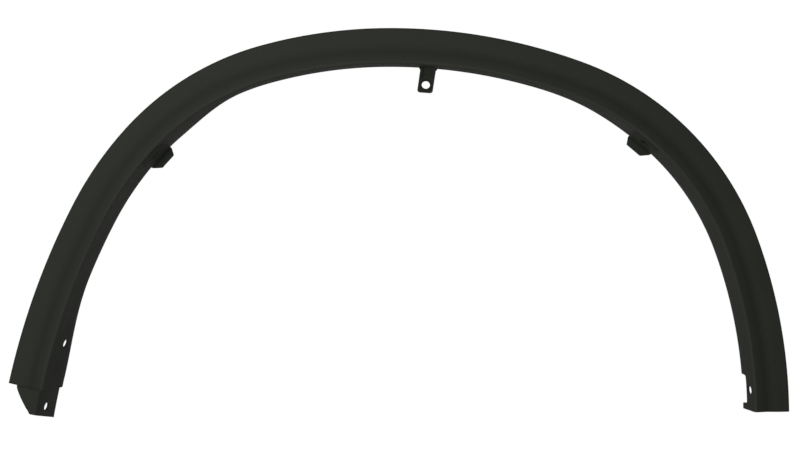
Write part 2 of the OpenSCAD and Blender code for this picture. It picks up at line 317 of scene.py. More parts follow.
def bow(tree, place, radius, fullest):
    """How far the body side falls away into the well at a place on the edge."""
    x = wire(tree, "ShaderNodeSeparateXYZ", {0: place}).outputs[0]
    aft = sum_of(tree, "SUBTRACT", x, fullest)
    return aft, sum_of(tree, "DIVIDE", sum_of(tree, "MULTIPLY", aft, aft),
                       sum_of(tree, "MULTIPLY", radius, 2.0))


# %% The sweep tree
SWEEP_INPUTS = [("Edge", "Object"), ("Rows", "Int"), ("Columns", "Int"), ("From", "Float"),
                ("To", "Float"), ("Crown", "Float"), ("Crown flange", "Float"),
                ("Front flange", "Float"), ("Foot flange", "Float"), ("Rear flange", "Float"),
                ("Draft", "Float"), ("Foot draft", "Float"), ("Plan radius", "Float"),
                ("Plan fullest", "Float"), ("Plastic", "Material")]


def sweep_tree():
    tree, given, result = new_geometry_tree("sweep section along edge", SWEEP_INPUTS)
    value = given.outputs
    curve = wire(tree, "GeometryNodeObjectInfo", {"Object": value["Edge"]}).outputs["Geometry"]
    last_row = sum_of(tree, "SUBTRACT", value["Rows"], 1.0)
    grid = wire(tree, "GeometryNodeMeshGrid", {
        "Size X": last_row, "Size Y": value["Columns"], "Vertices X": value["Rows"],
        "Vertices Y": sum_of(tree, "ADD", value["Columns"], 1.0)}).outputs["Mesh"]
    spot = tree.nodes.new("GeometryNodeInputPosition").outputs[0]
    x, y, _ = wire(tree, "ShaderNodeSeparateXYZ", {0: spot}).outputs
    row = sum_of(tree, "MULTIPLY_ADD", last_row, 0.5, x)
    column = sum_of(tree, "MODULO", sum_of(tree, "ROUND", sum_of(
        tree, "MULTIPLY_ADD", value["Columns"], 0.5, y)), value["Columns"])
    point = wire(tree, "GeometryNodeSampleIndex", {
        "Geometry": value["Geometry"], "Value": spot, "Index": column},
        data_type="FLOAT_VECTOR").outputs[0]
    across_face, into_well, share = wire(tree, "ShaderNodeSeparateXYZ", {0: point}).outputs
    length = wire(tree, "ShaderNodeMapRange", {
        "Value": row, "From Min": 0.0, "From Max": last_row, "To Min": value["From"],
        "To Max": value["To"]}, clamp=False).outputs[0]
    s = sum_of(tree, "SUBTRACT", length, value["Crown"])
    front = sum_of(tree, "MULTIPLY", s, -1.0)
    foot = smooth_step(tree, front, *(float(FRONT_LENGTH - up) for up in FOOT_FADE))
    depth = value["Crown flange"]
    for share_of, deep, shallow in (
            (smooth_step(tree, front, *map(float, FRONT_FADE)), "Front flange", "Crown flange"),
            (smooth_step(tree, s, *map(float, REAR_FADE)), "Rear flange", "Crown flange"),
            (foot, "Foot flange", "Front flange")):
        more = sum_of(tree, "SUBTRACT", value[deep], value[shallow])
        depth = sum_of(tree, "MULTIPLY_ADD", share_of, more, depth)
    depth = sum_of(tree, "MULTIPLY", depth, share)
    angle = sum_of(tree, "MULTIPLY_ADD", foot,
                   sum_of(tree, "SUBTRACT", value["Foot draft"], value["Draft"]), value["Draft"])
    lean = sum_of(tree, "TANGENT", sum_of(tree, "RADIANS", angle))
    u = sum_of(tree, "MULTIPLY_ADD", depth, lean, across_face)
    place, _, across = along_edge(tree, curve, length)
    _, fall = bow(tree, place, value["Plan radius"], value["Plan fullest"])
    v = sum_of(tree, "ADD", sum_of(tree, "ADD", into_well, depth), fall)
    inwards = wire(tree, "ShaderNodeVectorMath", {0: across, "Scale": u}, operation="SCALE")
    deeper = wire(tree, "ShaderNodeCombineXYZ", {"Y": v})
    on_face = wire(tree, "ShaderNodeVectorMath", {0: place, 1: inwards.outputs[0]}, operation="ADD")
    final = wire(tree, "ShaderNodeVectorMath", {0: on_face.outputs[0], 1: deeper.outputs[0]},
                 operation="ADD")
    moved = wire(tree, "GeometryNodeSetPosition", {"Geometry": grid, "Position": final.outputs[0]})
    merged = wire(tree, "GeometryNodeMergeByDistance", {"Geometry": moved.outputs[0],
                                                        "Distance": 0.002})
    real = wire(tree, "GeometryNodeRealizeInstances", {"Geometry": merged.outputs[0]})
    dressed = wire(tree, "GeometryNodeSetMaterial", {"Geometry": real.outputs[0],
                                                     "Material": value["Plastic"]})
    tree.links.new(dressed.outputs[0], result.inputs[0])
    return tree


sweep = sweep_tree()
print("nodes in the sweep tree:", len(sweep.nodes))

# %% [markdown]
# ## The edge curve and the swept band
#
# The curve object is the drawing's line made visible: a plain poly curve through closely spaced
# points of `edge`, kept flat, because the tree adds the bow in plan by itself. Below the section
# is a ring mesh. Its Y coordinate is how deep a point lies, X how far in from the edge and Z the
# share of the flange it follows.

# %% Make the edge curve and the ring, and sweep the band
def new_curve(name, points):
    data = bpy.data.curves.new(name, "CURVE")
    data.dimensions = "3D"
    line = data.splines.new("POLY")
    line.points.add(len(points) - 1)
    for spot, p in zip(line.points, points):
        spot.co = (p[0], p[1], p[2], 1)
    made = bpy.data.objects.new(name, data)
    bpy.context.scene.collection.objects.link(made)
    return made


def new_mesh(name, points, edges=(), faces=()):
    data = bpy.data.meshes.new(name)
    data.from_pydata([tuple(p) for p in points], list(edges), list(faces))
    made = bpy.data.objects.new(name, data)
    bpy.context.scene.collection.objects.link(made)
    return made


def edge_point(s):
    p = edge(s)[0]
    return (p.x, 0, p.z)


BEYOND, EDGE_STEP = 60, 2
stations = range(-FRONT_LENGTH - BEYOND, REAR_LENGTH + BEYOND + 1, EDGE_STEP)
edge_line = new_curve("edge line", [edge_point(s) for s in stations])
stretch = sum((Vector(edge_point(b)) - Vector(edge_point(a))).length
              for a, b in zip(stations, stations[1:]))
per_mm = stretch / (stations[-1] - stations[0])
print("edge line:", round(stretch, 2), "mm of curve for", stations[-1] - stations[0], "mm of arc")


def curve_length(s):
    return (s - stations[0]) * per_mm


plastic = bpy.data.materials.new("grained plastic")


def evaluate(carrier, tree, settings, name):
    """Run a node tree on a carrier object and keep the result as a plain mesh."""
    modifier = carrier.modifiers.new("made by nodes", "NODES")
    modifier.node_group = tree
    for label, value in settings.items():
        socket = tree.interface.items_tree[label]
        modifier[socket.identifier] = value
    bpy.context.view_layer.update()
    graph = bpy.context.evaluated_depsgraph_get()
    mesh = bpy.data.meshes.new_from_object(carrier.evaluated_get(graph))
    carrier.modifiers.remove(modifier)
    bpy.data.objects.remove(carrier)
    mesh.name = name
    made = bpy.data.objects.new(name, mesh)
    bpy.context.scene.collection.objects.link(made)
    return made


def sweep_section(ring, s_from, s_to, rows, name):
    count = len(ring)
    carrier = new_mesh("section ring", ring, [(i, (i + 1) % count) for i in range(count)])
    return evaluate(carrier, sweep, {
        "Edge": edge_line, "Rows": rows, "Columns": count, "From": curve_length(s_from),
        "To": curve_length(s_to), "Crown": curve_length(0), "Crown flange": float(CROWN_FLANGE),
        "Front flange": float(FRONT_FLANGE), "Foot flange": float(FOOT_FLANGE),
        "Rear flange": float(REAR_FLANGE), "Draft": float(DRAFT), "Foot draft": float(FOOT_DRAFT),
        "Plan radius": float(PLAN_R), "Plan fullest": float(PLAN_FULLEST),
        "Plastic": plastic}, name)


BAND_ROWS = 361
band = sweep_section(section, -FRONT_LENGTH, REAR_LENGTH, BAND_ROWS, "band")
print("band:", len(band.data.vertices), "vertices,", len(band.data.polygons), "faces")

# %% [markdown]
# ## Closing the ends
#
# A swept sheet is open at both ends. We fill the two loops, then round their edges a little,
# because the steel of a mould never leaves a knife edge. The helpers below do that for every
# piece of the trim: `tidy` merges doubles, drops loose geometry and turns all normals outwards.

# %% Helpers for solid pieces
def edit(piece, change):
    mesh = bmesh.new()
    mesh.from_mesh(piece.data)
    change(mesh)
    mesh.to_mesh(piece.data)
    mesh.free()
    piece.data.update()
    return piece


def tidy(mesh, distance=0.002):
    bmesh.ops.remove_doubles(mesh, verts=mesh.verts, dist=distance)
    loose = [v for v in mesh.verts if not v.link_faces]
    bmesh.ops.delete(mesh, geom=loose, context="VERTS")
    bmesh.ops.recalc_face_normals(mesh, faces=mesh.faces)


def bevel(mesh, edges, width):
    bmesh.ops.bevel(mesh, geom=edges, offset=width, segments=2, profile=0.5, affect="EDGES",
                    clamp_overlap=True)


def round_sharp(mesh, width, limit=40):
    mesh.normal_update()
    bevel(mesh, [e for e in mesh.edges if len(e.link_faces) == 2
                 and e.calc_face_angle(0) > math.radians(limit)], width)


def close_ends(width):
    def change(mesh):
        tidy(mesh)
        open_edges = [e for e in mesh.edges if e.is_boundary]
        made = bmesh.ops.holes_fill(mesh, edges=open_edges, sides=0)["faces"]
        rims = {e for face in made for e in face.edges}
        bevel(mesh, list(rims), width)
        bmesh.ops.recalc_face_normals(mesh, faces=mesh.faces)
    return change


def open_edge_count(piece):
    mesh = bmesh.new()
    mesh.from_mesh(piece.data)
    count = sum(1 for e in mesh.edges if len(e.link_faces) != 2)
    mesh.free()
    return count


END_ROUND = 0.3
edit(band, close_ends(END_ROUND))
print("band closed, open edges:", open_edge_count(band))

# %% [markdown]
# ## Hems
#
# At each foot the wall is doubled over a few millimetres. The hem keeps the free end straight
# when the plastic cools, and gives the screws something firm beside them. The same tree sweeps
# a thicker ring over a very short way.

# %% Sweep a hem at each foot
HEM, HEM_EDGE_ROUND, HEM_END_ROUND = 3.5, 0.5, 0.25
hem_ring = band_ring(WALL / 2, 2 * WALL, HEM_EDGE_ROUND)
front_hem = sweep_section(hem_ring, -FRONT_LENGTH, -FRONT_LENGTH + HEM, 3, "front hem")
rear_hem = sweep_section(hem_ring, REAR_LENGTH - HEM, REAR_LENGTH, 3, "rear hem")
for piece in (front_hem, rear_hem):
    edit(piece, close_ends(HEM_END_ROUND))
print("hems:", len(front_hem.data.polygons), "and", len(rear_hem.data.polygons), "faces")

# %% [markdown]
# ## The tongue at the front foot
#
# Below the front foot the trim steps one wall inwards and runs on as a tongue, which the bumper's
# end covers. Its front edge is chamfered and its end is cut on a rake. It is a short loft of rings,
# each a bent sheet like the band's, set a wall deeper.

# %% Loft the tongue from rings
TONGUE_L, TONGUE_SET_IN, TONGUE_FLANGE = 32, 11, 47
TONGUE_ROOT, TONGUE_RAKE, BITE = HEM / 2, 10, 0.9
TONGUE_CHAMFER, CHAMFER_CURVE = (2, 20.5), 1.2
VALLEY_SOFTENING, SOFT_WIDTH, FACE_POINTS = 0.2, 3, 10
TONGUE_RINGS, TONGUE_EDGE_ROUND, BEND_STEPS = 16, 0.6, 10


def tongue_edge(d):
    share = max(0.0, min(1.0, (d - TONGUE_CHAMFER[0]) / (TONGUE_L - TONGUE_CHAMFER[0])))
    return TONGUE_SET_IN + TONGUE_CHAMFER[1] * share ** CHAMFER_CURVE


def tongue_face(u):
    outer = VALLEY_DROP - (VALLEY_DROP + FACE_CROWN) * (FACE_W - u) * 2 / FACE_W
    bead = VALLEY_DROP - (VALLEY_DROP + CREST_RISE) * (u - FACE_W) / BEAD_W
    return min(outer, bead) - VALLEY_SOFTENING * math.exp(-((u - FACE_W) / SOFT_WIDTH) ** 2)


def place(s, u, v):
    """The point of the drawing at s along the edge, u in from it and v into the well."""
    p, heading, _ = edge(s)
    return p + Vector((-u * math.sin(heading), v, -u * math.cos(heading)))


def tongue_ring(d):
    s = -FRONT_LENGTH - d
    first, last = tongue_edge(d), CREST_U - CREST_R - 5
    line = [Vector((u, tongue_face(u)))
            for u in [first + (last - first) * k / (FACE_POINTS - 1) for k in range(FACE_POINTS)]]
    angle = draft(s)
    line += [Vector((CREST_U, -CREST_RISE)), flange_line(TONGUE_FLANGE, angle)]
    radii = [0] * FACE_POINTS + [CREST_R + WALL, 0]
    skins = [sheet_skin(line, radii, [BEND_STEPS] * len(line), offset)
             for offset in (WALL - BITE, 2 * WALL - BITE)]
    heading = edge(s)[1]
    travel = Vector((math.cos(heading), 0, -math.sin(heading)))
    slant = math.tan(math.radians(TONGUE_RAKE)) * (d + TONGUE_ROOT) / (TONGUE_L + TONGUE_ROOT)
    ring = rounded_ring(skins[0] + skins[1][::-1], TONGUE_EDGE_ROUND)
    return [place(s, p.x, p.y) - travel * slant * (p.y + CREST_RISE) for p in ring]


def loft(name, rings):
    n = len(rings[0])
    faces = [(i * n + j, i * n + (j + 1) % n, (i + 1) * n + (j + 1) % n, (i + 1) * n + j)
             for i in range(len(rings) - 1) for j in range(n)]
    return new_mesh(name, [p for ring in rings for p in ring], faces=faces)


steps = [(TONGUE_L + TONGUE_ROOT) * i / TONGUE_RINGS - TONGUE_ROOT for i in range(TONGUE_RINGS + 1)]
tongue = edit(loft("tongue", [tongue_ring(d) for d in reversed(steps)]), close_ends(END_ROUND))
print("tongue ends at z", round(min(v.co.z for v in tongue.data.vertices), 1), "mm")

# %% [markdown]
# ## The tab over the crown
#
# One tab hangs from the flange over the wheel. It is bent once, leans a little to the front and
# carries a hole with a low ring, where a screw pulls the trim against the inner wing. We cut it
# as a press would: a bent sheet, extruded wide, and an outline punched through it.

# %% Cutting a bent sheet to an outline
def extrude(name, outline, axis, low, high):
    """A plane outline carried along an axis: (y, z) along X, (x, z) along Y or (x, y) along Z."""
    def at(p, t):
        return (t, p[0], p[1]) if axis == "X" else (p[0], t, p[1]) if axis == "Y" else (*p, t)
    n = len(outline)
    sides = [(j, (j + 1) % n, n + (j + 1) % n, n + j) for j in range(n)]
    made = new_mesh(name, [at(p, t) for t in (low, high) for p in outline],
                    faces=sides + [tuple(range(n)), tuple(range(n, 2 * n))])
    return edit(made, lambda mesh: bmesh.ops.recalc_face_normals(mesh, faces=mesh.faces))


def boolean(target, other, operation):
    """Combine two solids for good; the second one is used up."""
    modifier = target.modifiers.new("combine", "BOOLEAN")
    modifier.operation, modifier.solver, modifier.object = operation, "MANIFOLD", other
    bpy.context.view_layer.update()
    graph = bpy.context.evaluated_depsgraph_get()
    mesh = bpy.data.meshes.new_from_object(target.evaluated_get(graph))
    target.modifiers.remove(modifier)
    old, target.data = target.data, mesh
    bpy.data.meshes.remove(old)
    bpy.data.objects.remove(other)
    return target


def rounded_line(points, radii):
    """An open outline with some corners rounded; a radius of 0 keeps a corner."""
    out = []
    for i, p in enumerate(points):
        p = Vector(p)
        if radii[i]:
            out += fillet(Vector(points[i - 1]), p, Vector(points[i + 1]), radii[i], 6)
        else:
            out.append(p)
    return out


def bent(name, line, radii, top, bottom, half):
    """A bent sheet that runs along X from -half to half."""
    skins = [sheet_skin(line, radii, [8] * len(line), offset) for offset in (top, bottom)]
    outline = [(p.y, -p.x) for p in skins[0] + skins[1][::-1]]
    return extrude(name, outline, "X", -half, half)


# %% The top tab's line, from the flange's end to its own
TAB_S, TAB_W, TAB_REACH, TAB_END = 51, 18.6, 24, 9.5
TAB_LEAN, TAB_BEND, TAB_SLOPES, TAB_BEND_R = math.radians(4.5), 15, (46, 24), 8


def down(angle, length):
    return Vector((math.cos(math.radians(angle)), math.sin(math.radians(angle)))) * length


knee = flange_line(flange_depth(TAB_S) - 2)
tab_start = knee - down(TAB_SLOPES[0], 0.5)
elbow = knee + down(TAB_SLOPES[0], TAB_BEND)
tab_hole = elbow + down(TAB_SLOPES[1], TAB_REACH - TAB_BEND)
tab_tip = tab_hole + down(TAB_SLOPES[1], TAB_END)
print("top tab reaches", round(tab_tip.x - knee.x, 1), "mm below the flange")

# %% Make the top tab
TAB_FLARE, TAB_RADII = 1.6, [0, 1, 1.5, 3.5, 3.5, 1.5, 1, 0]
TAB_RIB, RIB_RISE, TAB_EDGE_ROUND = 3.4, 1.5, 0.35
THROUGH = (-25, 65)


def leaning(points):
    return [Vector((p[0] - math.tan(TAB_LEAN) * max(0, -p[1] - knee.x), p[1])) for p in points]


def top_tab():
    half, low, root, high = TAB_W / 2, -tab_tip.x, -knee.x - 0.5, -tab_start.x + 4
    side = [(half + TAB_FLARE, high), (half + TAB_FLARE, root), (half, root - TAB_FLARE),
            (half, low)]
    outline = leaning([(-x, z) for x, z in side] + side[::-1])
    cut = rounded_line(outline, TAB_RADII)
    tab = bent("top tab", [tab_start, elbow, tab_tip], [0, TAB_BEND_R, 0], 0, WALL, TAB_W)
    strip = bent("rib strip", [tab_start, elbow], [0, 0], -RIB_RISE, BITE, TAB_W)
    side = leaning([(-half - 2 * TAB_FLARE, high), (-half - 2 * TAB_FLARE, low),
                    (-half + TAB_RIB, low), (-half + TAB_RIB, root), (-half + TAB_RIB, high)])
    boolean(strip, extrude("rib outline", side, "Y", *THROUGH), "INTERSECT")
    boolean(tab, strip, "UNION")
    boolean(tab, extrude("tab outline", cut, "Y", *THROUGH), "INTERSECT")
    edit(tab, lambda mesh: (tidy(mesh), round_sharp(mesh, TAB_EDGE_ROUND, 50), tidy(mesh)))
    tab.data.transform(on_band(TAB_S))
    return tab


tab = top_tab()
print("top tab:", len(tab.data.polygons), "faces, open edges:", open_edge_count(tab))


# %% The ring around the top tab's hole
def at_top_hole():
    """The middle of the hole in the tab's outer face, with z out of that face."""
    centre = Vector((-math.tan(TAB_LEAN) * (tab_hole.x - knee.x), tab_hole.y, -tab_hole.x))
    turn = Matrix.Rotation(math.radians(90 + TAB_SLOPES[1]), 4, "X")
    return on_band(TAB_S) @ Matrix.Translation(centre) @ turn


def lathe(name, profile, frame_matrix, segments=64):
    """A closed solid of revolution about its frame's z axis, from (radius, height) points."""
    n = segments
    points = [(r * math.cos(2 * math.pi * k / n), r * math.sin(2 * math.pi * k / n), h)
              for r, h in profile for k in range(n)]
    faces = [(i * n + k, i * n + (k + 1) % n, (i + 1) * n + (k + 1) % n, (i + 1) * n + k)
             for i in range(len(profile) - 1) for k in range(n)]
    faces += [tuple(range(n)), tuple(range((len(profile) - 1) * n, len(profile) * n))]
    made = new_mesh(name, points, faces=faces)
    made.data.transform(frame_matrix)
    return edit(made, lambda mesh: bmesh.ops.recalc_face_normals(mesh, faces=mesh.faces))


RING_R, RING_RISE, RING_ROUND = 7.5, 0.6, 0.3
ring = lathe("tab ring", [(RING_R, -BITE), (RING_R, RING_RISE - RING_ROUND),
                          (RING_R - RING_ROUND, RING_RISE), (HOLE_D / 2 - 1, RING_RISE)],
             at_top_hole())
print("ring around the top hole:", 2 * RING_R, "mm across,", RING_RISE, "mm high")

# %% [markdown]
# ## The tabs at the shoulders
#
# At each shoulder a pad thickens the flange around a clip hole, and an inward lip stiffens the
# pad's free edge. The lip tapers towards the foot, so that the moulding slides out of its tool.

# %% Make the side tabs
SIDE_W, SIDE_REACH, SIDE_HOLE = 34, 9.5, 16
PAD, PAD_BACK, PAD_ROUND = 1, WALL + 0.4, 0.5
LIP_BELOW, LIP_TAPER, LIP_RADII, LIP_ROUND = 5, (4.5, 8.5), [0, 1, 2, 2, 1, 0], 0.35
FRONT_TAB_S, REAR_TAB_S = -345.5, 354.5


def box(name, low, high, width=0.0):
    """A block between two corners; a width above 0 rounds its edges."""
    made = extrude(name, [(low[0], low[2]), (high[0], low[2]), (high[0], high[2]),
                          (low[0], high[2])], "Y", low[1], high[1])
    return edit(made, lambda mesh: round_sharp(mesh, width)) if width else made


def side_tab(s):
    crown_side, half = (1 if s < 0 else -1), SIDE_W / 2
    depth = flange_depth(s) / math.cos(draft(s))
    end = depth + LIP_BELOW
    pad = box("pad", (-half, SIDE_HOLE - HOLE_D, -PAD), (half, end, PAD_BACK), PAD_ROUND)
    near, far = crown_side * (half - LIP_TAPER[0]), -crown_side * (half - LIP_TAPER[1])
    lip = rounded_line(
        [(crown_side * half, WALL / 2), (crown_side * half, -PAD), (near, -SIDE_REACH),
         (far, -SIDE_REACH), (-crown_side * half, -PAD), (-crown_side * half, WALL / 2)], LIP_RADII)
    ledge = extrude("lip", lip, "Y", end - WALL, end - 0.05)
    edit(ledge, lambda mesh: round_sharp(mesh, LIP_ROUND, 60))
    boolean(pad, ledge, "UNION")
    pad.data.transform(on_flange(s))
    return pad


side_tabs = [side_tab(FRONT_TAB_S), side_tab(REAR_TAB_S)]
print("side tabs, open edges:", [open_edge_count(piece) for piece in side_tabs])

# %% [markdown]
# ## Seats and ribs on the back
#
# Things that repeat along the arch are made once and instanced. The second tree drops points on
# the edge curve at an even pitch, adds the bow in plan, and turns each copy so that its X runs
# along the band and its Z points out of the wheel. The clip seats are open boxes whose top plate
# has a keyhole slot; the ribs brace the corner between the bead and the flange.

# %% The tree that repeats a piece along the edge
REPEAT_INPUTS = [("Edge", "Object"), ("Count", "Int"), ("First", "Float"), ("Pitch", "Float"),
                 ("Plan radius", "Float"), ("Plan fullest", "Float"), ("Plastic", "Material")]


def repeat_tree():
    tree, given, result = new_geometry_tree("repeat along edge", REPEAT_INPUTS)
    value = given.outputs
    curve = wire(tree, "GeometryNodeObjectInfo", {"Object": value["Edge"]}).outputs["Geometry"]
    index = tree.nodes.new("GeometryNodeInputIndex").outputs[0]
    length = sum_of(tree, "MULTIPLY_ADD", index, value["Pitch"], value["First"])
    place_out, tangent, across = along_edge(tree, curve, length)
    aft, fall = bow(tree, place_out, value["Plan radius"], value["Plan fullest"])
    along = wire(tree, "ShaderNodeSeparateXYZ", {0: tangent}).outputs[0]
    slope = sum_of(tree, "DIVIDE", sum_of(tree, "MULTIPLY", aft, along), value["Plan radius"])
    tilt = wire(tree, "ShaderNodeCombineXYZ", {"Y": slope}).outputs[0]
    forward = wire(tree, "ShaderNodeVectorMath", {0: tangent, 1: tilt}, operation="ADD")
    outward = wire(tree, "ShaderNodeVectorMath", {0: across, "Scale": -1.0}, operation="SCALE")
    turn = wire(tree, "FunctionNodeAxesToRotation", {
        "Primary Axis": outward.outputs[0], "Secondary Axis": forward.outputs[0]},
        primary_axis="Z", secondary_axis="X").outputs[0]
    line = wire(tree, "GeometryNodeMeshLine", {"Count": value["Count"], "Offset": (1, 0, 0)})
    shift = wire(tree, "ShaderNodeCombineXYZ", {"Y": fall}).outputs[0]
    spot = wire(tree, "ShaderNodeVectorMath", {0: place_out, 1: shift}, operation="ADD")
    moved = wire(tree, "GeometryNodeSetPosition", {"Geometry": line.outputs[0],
                                                   "Position": spot.outputs[0]})
    copies = wire(tree, "GeometryNodeInstanceOnPoints", {
        "Points": moved.outputs[0], "Instance": value["Geometry"], "Rotation": turn})
    real = wire(tree, "GeometryNodeRealizeInstances", {"Geometry": copies.outputs[0]})
    dressed = wire(tree, "GeometryNodeSetMaterial", {"Geometry": real.outputs[0],
                                                     "Material": value["Plastic"]})
    tree.links.new(dressed.outputs[0], result.inputs[0])
    return tree


repeat = repeat_tree()
FOOT_MARGIN = 55
print("nodes in the repeat tree:", len(repeat.nodes))


def repeat_along(unit, pitch, name):
    """Copies at an even pitch, centred between the margins at the two feet."""
    whole = FRONT_LENGTH + REAR_LENGTH - 2 * FOOT_MARGIN
    gaps = int(whole // pitch)
    first = -FRONT_LENGTH + FOOT_MARGIN + (whole - gaps * pitch) / 2
    return evaluate(unit, repeat, {
        "Edge": edge_line, "Count": gaps + 1, "First": curve_length(first),
        "Pitch": pitch * per_mm, "Plan radius": float(PLAN_R), "Plan fullest": float(PLAN_FULLEST),
        "Plastic": plastic}, name)


# %% Make one seat and one rib, and repeat them
SEAT_L, SEAT_W, SLOT, THIN = 20, 15, 7, 1.8
SEAT_SET_IN, SEAT_ROUND, SEAT_PITCH = EDGE_R + 3, 0.4, 150
RIB_REACH, RIB_PITCH, RIB_CLEAR = 13, 75, 2.4


def clip_seat():
    low, high, half = WALL / 2, RIM_DEPTH - 0.5, SEAT_W / 2
    seat = box("seat", (-SEAT_L / 2, low, -half), (SEAT_L / 2, high, half), SEAT_ROUND)
    boolean(seat, box("inside", (-SEAT_L / 2 + THIN, low - 1, -half + THIN),
                      (SEAT_L, high - THIN, half - THIN)), "DIFFERENCE")
    boolean(seat, box("slot", (0, high - THIN - 1, -SLOT / 2), (SEAT_L, high + 1, SLOT / 2)),
            "DIFFERENCE")
    upright = Matrix.Rotation(math.radians(-90), 4, "X")
    boolean(seat, lathe("slot end", [(SLOT / 2, high - THIN - 1), (SLOT / 2, high + 1)], upright),
            "DIFFERENCE")
    seat.data.transform(Matrix.Translation((0, 0, -SEAT_SET_IN - half)))
    return seat


def rib():
    lean = math.tan(math.radians(DRAFT))
    outline = [(WALL - CREST_RISE + RIB_CLEAR, -CREST_U + RIB_REACH),
               (WALL / 2 - CREST_RISE, -CREST_U + WALL), (WALL - CREST_RISE, -CREST_U + WALL / 2),
               (RIB_REACH - CREST_RISE, -CREST_U - RIB_REACH * lean + WALL / 2)]
    return extrude("rib", outline, "X", -THIN / 2, THIN / 2)


seats = repeat_along(clip_seat(), SEAT_PITCH, "clip seats")
ribs = repeat_along(rib(), RIB_PITCH, "ribs")
print("seats:", len(seats.data.polygons), "faces; ribs:", len(ribs.data.polygons), "faces")

# %% [markdown]
# ## One moulding
#
# Everything is joined into one closed skin, as it comes out of the mould, and then the holes and
# the notch are taken out. Each cutter flares at both ends, which leaves the small chamfer that a
# core pin leaves around its hole.

# %% Join the pieces
for piece in [front_hem, rear_hem, tongue, tab, ring, *side_tabs, seats, ribs]:
    boolean(band, piece, "UNION")
print("joined:", len(band.data.polygons), "faces, open edges:", open_edge_count(band))

# %% Cut the holes and the notch
HOLE_CHAMFER = 0.4
FRONT_LEG_HOLE, TONGUE_HOLE, FOOT_HOLE_GAP = (59.5, 31), (24, 24), 2.5
NOTCH_L, NOTCH_DEEP, NOTCH_UP, NOTCH_FLARE = 33, 11, 10, 2
notch_s = REAR_LENGTH - NOTCH_UP - NOTCH_L / 2


def hole_cutter(frame_matrix, front, back):
    """Front and back are the heights of the wall's two faces along the frame's z."""
    r, low, high = HOLE_D / 2, min(front, back), max(front, back)
    profile = [(r + HOLE_CHAMFER + 1, low - 1), (r, low + HOLE_CHAMFER), (r, high - HOLE_CHAMFER),
               (r + HOLE_CHAMFER + 1, high + 1)]
    return lathe("hole", profile, frame_matrix)


def flange_frame(s, depth):
    return on_flange(s) @ Matrix.Translation((0, depth / math.cos(draft(s)), 0))


holes = [
    (at_top_hole(), RING_RISE, -WALL),
    (flange_frame(FRONT_TAB_S, SIDE_HOLE), -PAD, PAD_BACK),
    (flange_frame(REAR_TAB_S, SIDE_HOLE), -PAD, PAD_BACK),
    (flange_frame(-FRONT_LENGTH + FRONT_LEG_HOLE[0], FRONT_LEG_HOLE[1]), 0, WALL),
    (flange_frame(-FRONT_LENGTH - TONGUE_HOLE[0], TONGUE_HOLE[1]), WALL - BITE, 2 * WALL - BITE),
    (flange_frame(notch_s, REAR_FLANGE - NOTCH_DEEP - HOLE_D / 2 - FOOT_HOLE_GAP), 0, WALL),
]
for frame_matrix, front, back in holes:
    boolean(band, hole_cutter(frame_matrix, front, back), "DIFFERENCE")


def notch_cutter():
    deep, half = REAR_FLANGE / math.cos(math.radians(DRAFT)), NOTCH_L / 2
    outline = rounded_line([(-half - NOTCH_FLARE, deep + 8), (-half, deep - NOTCH_DEEP),
                            (half, deep - NOTCH_DEEP), (half + NOTCH_FLARE, deep + 8)],
                           [0, 3, 3, 0])
    cutter = extrude("notch", outline, "Z", -2 * WALL, 3 * WALL)
    cutter.data.transform(on_flange(notch_s))
    return cutter


boolean(band, notch_cutter(), "DIFFERENCE")
print("cut:", len(band.data.polygons), "faces, open edges:", open_edge_count(band))

# %% [markdown]
# ## Into the frame
#
# The frame's origin is the middle of the top tab's hole, half-way through its wall, and its unit
# is the metre. One matrix takes the finished mesh there. The object itself stays unturned and
# unscaled at the origin.

# %% Move the trim to the frame
top_hole = at_top_hole() @ Vector((0, 0, -WALL / 2))
to_frame = Matrix.Scale(0.001, 4) @ Matrix.Translation(-top_hole)
band.data.transform(to_frame)
edit(band, lambda mesh: tidy(mesh, distance=2e-6))
for polygon in band.data.polygons:
    polygon.use_smooth = True
SHARP_FROM = math.radians(32)
band.data.set_sharp_from_angle(angle=SHARP_FROM)
band.name = band.data.name = "arch_trim_moulding"
band.data.materials.clear()
band.data.materials.append(plastic)
bpy.data.objects.remove(edge_line)
print("top hole at", [round(v, 3) for v in top_hole], "mm of the drawing")
print("open edges:", open_edge_count(band))

# %% [markdown]
# ## Marks of painted light and shade
#
# Along the bead's crest the colour is painted paler as a painted highlight, and the grain is a
# little smoother; the valley beside it is painted darker as a painted shade. Both follow the
# surface, so we
# write them on the mesh: two attributes that say how near each vertex lies to the crest and the
# valley.

# %% Mark the crest and the valley
def mark(piece, name, u, v, near, far):
    """1 on the line at u and v of the section, from near mm outwards fading to 0 at far mm."""
    run = range(-FRONT_LENGTH, REAR_LENGTH + 1)
    line = KDTree(len(run))
    for i, s in enumerate(run):
        line.insert(to_frame @ place(s, u, v), i)
    line.balance()
    layer = piece.data.attributes.new(name, "FLOAT", "POINT")
    for vertex, spot in zip(piece.data.vertices, layer.data):
        distance = line.find(vertex.co)[2] * 1000
        spot.value = 1 - ramp((distance - near) / (far - near))
    print(name, "marked on", sum(1 for spot in layer.data if spot.value > 0.5), "vertices")


# The crest mark carries a painted highlight, the valley mark a painted shade.
CREST_MARK, VALLEY_MARK = (1.7, 3.6), (0.5, 6)
mark(band, "crest", CREST_U + 0.3, 0.4 - CREST_RISE, *CREST_MARK)
mark(band, "valley", FACE_W, VALLEY_DROP, *VALLEY_MARK)

# %% [markdown]
# ## Grained black plastic
#
# Such trims are moulded in black polypropylene. The mould is etched, so the skin has a fine
# pebbled grain that breaks up reflections, and years of light and wash water grey it in soft
# clouds. The groups below give only heights and masks in the object's own coordinates: the grain,
# the weather's clouds and streaks, and the painted shade in the corner of the top tab's rib and
# around the ring of its hole.

# %% The etched grain
PEBBLE_SCALE, FINE_SCALE = 1050.0, 2600.0


